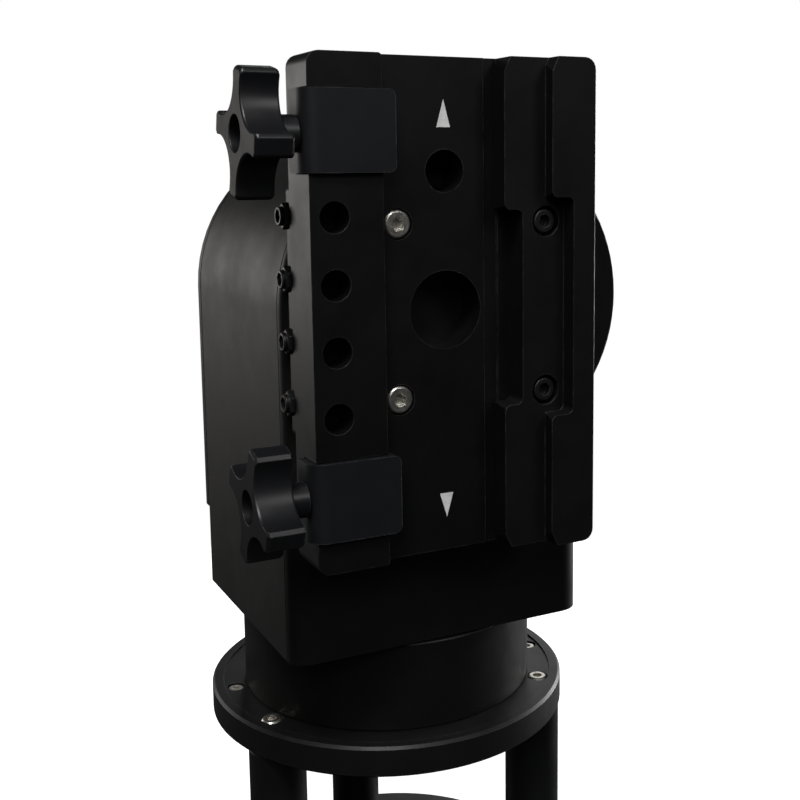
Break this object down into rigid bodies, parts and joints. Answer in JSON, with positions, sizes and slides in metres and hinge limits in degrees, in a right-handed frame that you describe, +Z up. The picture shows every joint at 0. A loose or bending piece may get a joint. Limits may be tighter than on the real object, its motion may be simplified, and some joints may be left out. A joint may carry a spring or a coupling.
{
  "type": "alt azimuth mount",
  "caption": "Single-arm alt azimuth mount: a turning arm on a pillared pier adapter carries a tilting saddle that clamps a dovetail bar with star knobs.",
  "frame": {"origin": "centre of the pier adapter's underside, on the azimuth axis", "axes": "+Z up along the azimuth axis, which is the object's longest extent; the saddle faces -Y and the altitude axis is parallel to Y; the clamp knobs are on the -X side"},
  "size_m": [0.1881, 0.2087, 0.4253],
  "materials": {
    "anodised_black": "black anodised, satin",
    "painted_black": "black powder coat, satin",
    "knob_black": "black anodised, glossy",
    "jaw_black": "black anodised, fine blasted satin",
    "stainless": "stainless, machined",
    "black_steel": "black oxide, oiled",
    "drive_metal": "machined, hidden inside",
    "board_green": "circuit board, hidden inside"
  },
  "bodies": {
    "base": {"azimuth_drive": "drive_metal", "azimuth_drum": "anodised_black", "azimuth_flange": "anodised_black", "base_plate": "painted_black", "flange_screw_1": "stainless", "flange_screw_2": "stainless", "flange_screw_3": "stainless", "flange_set_screw_1": "stainless", "flange_set_screw_2": "stainless", "post_1": "painted_black", "post_2": "painted_black", "post_3": "painted_black"},
    "head": {"altitude_drive": "drive_metal", "arm_back_cover": "painted_black", "arm_front_plate": "anodised_black", "arm_shell": "painted_black", "azimuth_spindle": "drive_metal", "control_board": "board_green", "cover_screw_1": "black_steel", "cover_screw_2": "black_steel", "cover_screw_3": "black_steel", "cover_screw_4": "black_steel"},
    "saddle": {"altitude_spindle": "drive_metal", "fixed_jaw_rail": "anodised_black", "hub_plate": "anodised_black", "rail_screw_1": "black_steel", "rail_screw_2": "black_steel", "saddle_plate": "anodised_black", "saddle_screw_1": "stainless", "saddle_screw_2": "stainless", "side_bar": "anodised_black", "side_lock_screw_1": "black_steel", "side_lock_screw_2": "black_steel", "side_lock_screw_3": "black_steel", "side_lock_screw_4": "black_steel"},
    "jaw_upper": {"clamp_jaw_upper": "jaw_black"},
    "jaw_lower": {"clamp_jaw_lower": "jaw_black"},
    "knob_upper": {"clamp_knob_upper": "knob_black"},
    "knob_lower": {"clamp_knob_lower": "knob_black"}
  },
  "joints": [
    {"name": "azimuth_turn", "type": "hinge", "parent": "base", "child": "head", "pos_m": [0, 0, 0.172], "axis": [0, 0, 1], "continuous": true},
    {"name": "altitude_turn", "type": "hinge", "parent": "head", "child": "saddle", "pos_m": [-0.00405, -0.0701, 0.324], "axis": [0, 1, 0], "range_deg": [-100, 100]},
    {"name": "jaw_upper_slide", "type": "slide", "parent": "saddle", "child": "jaw_upper", "axis": [1, 0, 0], "range_m": [0, 0.0075]},
    {"name": "knob_upper_turn", "type": "hinge", "parent": "jaw_upper", "child": "knob_upper", "pos_m": [-0.08545, -0.0966, 0.3947], "axis": [1, 0, 0], "range_deg": [0, 1800]},
    {"name": "jaw_lower_slide", "type": "slide", "parent": "saddle", "child": "jaw_lower", "axis": [1, 0, 0], "range_m": [0, 0.0075]},
    {"name": "knob_lower_turn", "type": "hinge", "parent": "jaw_lower", "child": "knob_lower", "pos_m": [-0.08545, -0.0966, 0.2533], "axis": [1, 0, 0], "range_deg": [0, 1800]}
  ],
  "couplings": [
    {"joint": "knob_upper_turn", "follows": "jaw_upper_slide", "rad_per_m": 4188.8},
    {"joint": "knob_lower_turn", "follows": "jaw_lower_slide", "rad_per_m": 4188.8}
  ]
}
